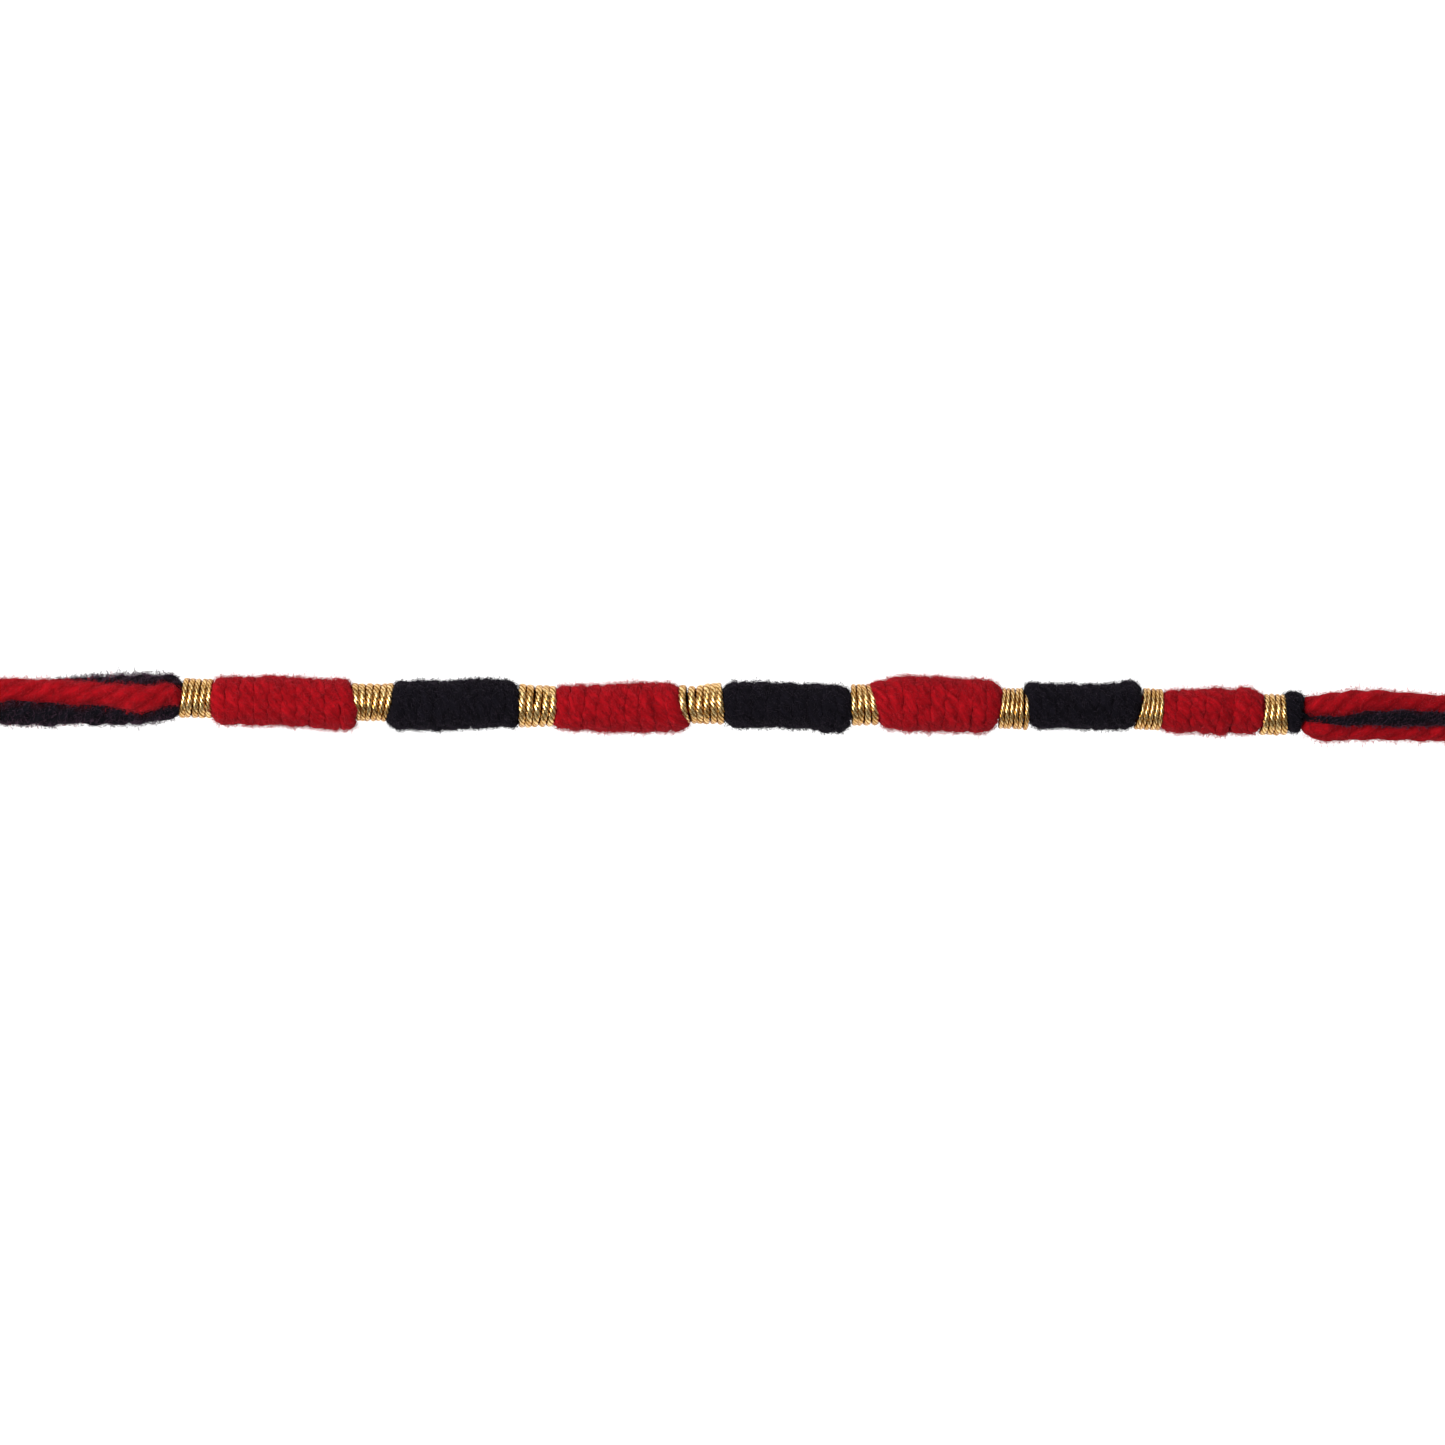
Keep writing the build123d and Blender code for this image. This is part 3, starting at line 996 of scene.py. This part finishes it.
# A thread's thickness and the gap below a wrap, in millimetres. A wrap's own name comes first.
THICKNESS = {"gold": 0.52, "red": 1.12, "black": 1.12, "end_whipping": 0.9}
FLOOR_CLEARANCE = 0.03
# Half a thread's width, as a share of its turn's width. A single turn has no neighbours.
SPREAD = {"gold": 0.530, "red": 0.60, "black": 0.60}
SINGLE_SPREAD = 0.56
# Single turns that lie off their even place: the turn's number and how far it lies towards +X
NUDGES = {
    "gold_wrap_3": ((1, -0.02), (4, 0.03)),
    "gold_wrap_4": ((1, -0.07), (2, 0.14), (3, 0.11), (4, 0.08), (5, 0.05)),
    "gold_wrap_6": ((5, -0.05), (6, 0.05)),
}
NUDGE_TURNS = 0.75
# The turns nearest a wrap's ends lie askew. They straighten over these turns.
ASKEW_END = 3.2
ASKEW_TURNS = 2.45
ASKEW_SHARE = 1 / 8
# A coil starts and ends below the strand
BELOW = math.pi * 1.5


def half_thickness(wrap):
    """Half the thickness of a wrap's thread."""
    return THICKNESS.get(wrap.name, THICKNESS[wrap.kind]) / 2 * MM


def coil_centre(wrap, x):
    """Y, Z and the two radii of a wrap's outside at these X."""
    at, top, bottom = np.array(wrap.outline).T * MM
    upper, lower = np.interp(x, at, top), np.interp(x, at, bottom)
    core_x, core_z = np.array(CORE)[:, 0], np.array(CORE)[:, 2]
    z = np.interp(x, core_x, core_z)
    wide = (upper - lower) / 2
    high = np.minimum(wide, z - FLOOR_CLEARANCE * MM)
    return (upper + lower) / 2, z, wide, high


def edge_at(edge, side):
    """X of a wrap's end. edge is its X on the +Y side, on top and on the -Y side."""
    plus, top, minus = edge
    return (top + (plus - minus) / 2 * side + ((plus + minus) / 2 - top) * side**2) * MM


def coil_width(wrap, side):
    """How wide one turn lies."""
    return (edge_at(wrap.right, side) - edge_at(wrap.left, side)) / wrap.turns


def coil_angle(u):
    """The angle round the strand after u turns."""
    return BELOW - TURN * u


def coil_x(wrap, u, side):
    """X of the thread's middle after u turns."""
    left, right = edge_at(wrap.left, side), edge_at(wrap.right, side)
    if wrap.turns == 1:
        return (left + right) / 2
    width = coil_width(wrap, side)
    inset = width * SPREAD[wrap.kind]
    # From the middle of the first turn to the middle of the last
    passed = np.clip((u - 0.5) / (wrap.turns - 1), 0, 1)
    from_start = np.clip((ASKEW_END - u) / ASKEW_TURNS, 0, 1)
    from_end = np.clip((ASKEW_END - wrap.turns + u) / ASKEW_TURNS, 0, 1)
    askew = (from_end * (1 - side) - from_start * (1 + side)) * width * ASKEW_SHARE
    return left + inset + (right - left - 2 * inset) * passed + askew


def coil_points(wrap, u, along, outward, lean):
    """Points on a wrap's thread: u turns on, and these far along the strand and outward."""
    angle = coil_angle(u)
    side = np.cos(angle)
    x = coil_x(wrap, u, side) + lean * side + along * coil_width(wrap, side)
    for turn, nudge in NUDGES.get(wrap.name, ()):
        x = x + nudge * MM * fading(np.abs(u - turn + 0.5), NUDGE_TURNS)
    y, z, wide, high = coil_centre(wrap, x)
    half = half_thickness(wrap)
    y = y + (wide - half + outward) * side
    z = z + (high - half + outward) * np.sin(angle)
    return np.stack([x, y, z], axis=-1)


# A turn's columns are closer together on its outer side
OUTER_COLUMNS = np.linspace(0, math.pi, 14)
INNER_COLUMNS = np.linspace(math.pi, TURN, 7)[1:-1]
WOOL_COLUMNS = np.concatenate([OUTER_COLUMNS, INNER_COLUMNS])
# The thread in one turn, the step between its rows and the lead of its plies
WOOL_TURN = TURN * 1.8 * MM
WOOL_STEP = 0.125 * MM
WOOL_LEAD = 5.2 * MM
# The section's power: 2 is round, and a higher power fills the turn's corners
PRESSED_POWER = 4.4
ROUND_POWER = 2.0
ROUND_TURNS = 1.5
# The thread tapers and dives over this part of a turn at its two ends
TAPER_TURNS = 0.16
TAPER_SHARE = 0.65
TAPER_DIVE = 0.5
WOOL_SINK = 0.05 * MM
WOOL_WANDER = ((0.6, 2.3 * MM, 0), (0.3, 0.8 * MM, 1))
WOOL_SWELL = ((0.08, 3.0 * MM, 2),)
WOOL_LIFT = ((0.05 * MM, 4.4 * MM, 3), (0.03 * MM, 1.2 * MM, 8))
WOOL_LEAN = ((0.12 * MM, 6.0 * MM, 4),)
WOOL_WIGGLE = ((0.07, 0.9 * MM, 7),)
WOOL_GRAIN = (
    (0.07 * MM, 0.75 * MM, 1.0, 9),
    (0.07 * MM, 0.34 * MM, 1.0, 5),
    (0.035 * MM, 0.17 * MM, 1.0, 6),
)
WRAP_ROUGHNESS = {"red": 1.0, "black": 1.6}
WRAP_LAY_RADIUS = 0.6
# The plies' relief, and the painted shade between the plies and between the turns
WRAP_PLY_DEPTH = 0.85
WRAP_PLY_BASE = 0.17
CREST_SHARE = 0.8
GAP_LIGHT = 0.22
GAP_SLOPE = 2.0
# Fibres stand on a turn's outer side, off the floor and off the thread's tapered ends
OUTER_SINE = 0.2
WRAP_FIBRES_FROM = 0.2 * MM
TAPERED = 0.2


def wool_wrap(wrap, seed):
    """Wool wound turn beside turn: a plied thread, pressed flat against its neighbours."""
    steps = int(wrap.turns * WOOL_TURN / WOOL_STEP)
    u = np.linspace(0.0, wrap.turns, steps)[:, None]
    s = u * WOOL_TURN
    phi = WOOL_COLUMNS[None]
    cosine, sine = np.cos(phi), np.sin(phi)
    ply_angle = phi - TURN * s / WOOL_LEAD + waves(WOOL_WANDER, s, seed)
    profile, crest = ply_profile(ply_angle, WRAP_PLY_MIDDLE)
    first_turn = fading(u, ROUND_TURNS) * (cosine < 0)
    last_turn = fading(wrap.turns - u, ROUND_TURNS) * (cosine > 0)
    rounded = np.maximum(first_turn, last_turn)
    power = PRESSED_POWER + (ROUND_POWER - PRESSED_POWER) * rounded
    square = (np.abs(cosine) ** power + np.abs(sine) ** power) ** (-1 / power)
    end = np.clip(np.minimum(u, wrap.turns - u) / TAPER_TURNS, 0, 1) ** 0.5
    share = square * (WRAP_PLY_DEPTH * profile + WRAP_PLY_BASE)
    share = share * (1 + waves(WOOL_SWELL, s, seed))
    share = share * partly(TAPER_SHARE, end)
    if wrap.turns > 1:
        along = cosine * share * SPREAD[wrap.kind] + waves(WOOL_WIGGLE, s, seed) * end
    else:
        along = cosine * share * SINGLE_SPREAD
    half = half_thickness(wrap)
    dive = (1 - end) * half * TAPER_DIVE + WOOL_SINK
    outward = sine * share * half + waves(WOOL_LIFT, s, seed) - dive
    lean = waves(WOOL_LEAN, s, seed)
    points = coil_points(wrap, u, along, outward, lean)
    rough = grain(WOOL_GRAIN, points, seed) * WRAP_ROUGHNESS[wrap.kind]
    points = coil_points(wrap, u, along, outward + rough * np.maximum(sine, 0), lean)
    points[..., 2] = np.maximum(points[..., 2], LOWEST)
    lay = lay_of(ply_angle, WRAP_LAY_RADIUS, s / MM * STREAKS_ALONG + seed)
    # Painted shade: darker between the plies, and towards the sides and the inside of each turn, where
    # turns meet
    depth = np.clip(GAP_LIGHT + sine * GAP_SLOPE, 0, 1) * partly(CREST_SHARE, crest)
    piece = tube_mesh(wrap.name + "_wool", points, WOOL[wrap.kind], lay=lay, crest=depth)
    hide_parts(wrap.name)
    keep = (sine > OUTER_SINE) * (points[..., 2] > WRAP_FIBRES_FROM) * (end > TAPERED)
    size = np.ones(keep.shape)
    surface_fibres(wrap.name + "_fibres", wrap.kind, points, keep, size, seed, ON_WRAPS)


# Gold thread: strips wound round a core, which slant across the thread
GOLD_TURN = TURN * 1.45 * MM
GOLD_LEAD = 2.3 * MM
GOLD_STARTS = 5
GOLD_COLUMNS = 16
GOLD_LIFT = 0.10 * MM
# One strip's rows: the place across the strip, the height and its painted shade, darkest in the groove
# at the strip's edge
GOLD_STRIP = np.array([(0.0, 0.86, 0.05), (0.16, 1.02, 0.75), (0.5, 1.06, 1.0), (0.84, 0.99, 0.65)])
STRIP_UNEVEN = 0.06
ROW_UNEVEN = 0.04
WORN_RANGE = (0.75, 1.1)
DENT_HEIGHT = 0.04
DENT_LENGTH = 0.35 * MM
GOLD_LEAN = ((0.07 * MM, 5.0 * MM, 2),)
GOLD_DRIFT = ((0.04, 4.0 * MM, 3),)
GOLD_WAVE = ((0.03 * MM, 6.0 * MM, 4),)
GOLD_LAY_RADIUS = 0.3
SCRATCHES_ALONG = 2.0
# Painted shade between the turns, deeper where the turns are narrow, and painted shade on the two
# flanks
NARROW_TURN = 0.45 * MM
NARROW_GROOVE = 0.50
WIDE_GROOVE = 0.30
GROOVE_SLOPE = 1.75
GROOVE_SHARE = 0.9
GOLD_FLANK_SHADE = 0.26


def gold_wrap(wrap, seed):
    """Strip thread wound turn beside turn: slanting facets round a thin thread."""
    draw = np.random.default_rng(seed)
    place, height, bright = GOLD_STRIP.T
    spacing = GOLD_LEAD / GOLD_STARTS
    strips = int(wrap.turns * GOLD_TURN / spacing)
    at = (np.arange(strips)[:, None] + place).ravel() * spacing
    facet = np.repeat(draw.normal(0, STRIP_UNEVEN, strips), len(place))
    facet = facet + draw.normal(0, ROW_UNEVEN, len(at))
    phi = (np.arange(GOLD_COLUMNS) * TURN / GOLD_COLUMNS)[None]
    cosine, sine = np.cos(phi), np.sin(phi)
    s = at[:, None] + GOLD_LEAD * phi / TURN
    u = np.clip(s / GOLD_TURN, 0, wrap.turns)
    dents = DENT_HEIGHT * smooth_noise(s / DENT_LENGTH + phi, seed + 1)
    rho = (np.tile(height, strips) + facet)[:, None] + dents
    along = cosine * rho * SPREAD["gold"] + waves(GOLD_DRIFT, s, seed)
    outward = sine * rho * half_thickness(wrap) + waves(GOLD_WAVE, s, seed) + GOLD_LIFT
    points = coil_points(wrap, u, along, outward, waves(GOLD_LEAN, s, seed))
    points[..., 2] = np.maximum(points[..., 2], LOWEST)
    lay = lay_of(phi, GOLD_LAY_RADIUS, s / MM * SCRATCHES_ALONG + seed)
    worn = np.repeat(draw.uniform(*WORN_RANGE, strips), len(place))
    groove = NARROW_GROOVE if coil_width(wrap, 0.0) < NARROW_TURN else WIDE_GROOVE
    # Painted shade: dark in the groove at each strip's edge and down between the turns
    crest = (np.tile(bright, strips) * worn)[:, None]
    crest = crest * partly(GROOVE_SHARE, np.clip(sine * GROOVE_SLOPE - groove, 0, 1))
    # Painted shade on the strand's two flanks, which dims the floor's reflection there
    crest = crest * (1 - GOLD_FLANK_SHADE * np.abs(np.cos(coil_angle(u))) ** 3)
    faces = grid_faces(len(at), GOLD_COLUMNS, len(place) * GOLD_STARTS)
    name = wrap.name + "_thread"
    piece = make_mesh(name, points, faces, GOLD, lay=lay.reshape(-1, 3), crest=crest.ravel())
    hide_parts(wrap.name)


FIRST_WRAP_SEED = 300
WRAP_SEED_STEP = 10
for number, wrap in enumerate(WRAPS):
    wind = gold_wrap if wrap.kind == "gold" else wool_wrap
    wind(wrap, FIRST_WRAP_SEED + WRAP_SEED_STEP * number)

# The floor, the light and the world

FLOOR_REACH = 4.0
FLOOR_LOOKS = {
    "Base Color": (0.3, 0.3, 0.3, 1.0),
    "Roughness": 0.9,
    "Emission Color": (1.0, 1.0, 1.0, 1.0),
    "Emission Strength": 1.0,
}

corners = [(x * FLOOR_REACH, y * FLOOR_REACH, 0) for x, y in ((-1, -1), (1, -1), (1, 1), (-1, 1))]
floor_mesh = bpy.data.meshes.new("floor")
floor_mesh.from_pydata(corners, [], [(0, 1, 2, 3)])
floor = bpy.data.objects.new("floor", floor_mesh)
bpy.context.scene.collection.objects.link(floor)
floor_material, floor_tree, floor_shader = new_material("floor")
feed(floor_tree, floor_shader, FLOOR_LOOKS)
floor_mesh.materials.append(floor_material)


def area_light(name, place, size, power):
    """A square soft light that looks at the strand's middle."""
    data = bpy.data.lights.new(name, "AREA")
    data.size = size
    data.energy = power
    light = bpy.data.objects.new(name, data)
    light.location = place
    light.rotation_euler = (-Vector(place)).to_track_quat("-Z", "Y").to_euler()
    bpy.context.scene.collection.objects.link(light)


area_light("overhead", place=(-0.25, 0.02, 0.45), size=0.30, power=3.5)
area_light("back", place=(-0.1, 0.8, 0.6), size=0.5, power=2.2)

SKY = {"Color": (0.9, 0.92, 0.95, 1.0), "Strength": 0.28}

world = bpy.data.worlds.new("world")
bpy.context.scene.world = world
world.use_nodes = True
feed(world.node_tree, world.node_tree.nodes["Background"], SKY)

bpy.context.scene.view_settings.view_transform = "Standard"
bpy.context.scene.view_settings.look = "None"
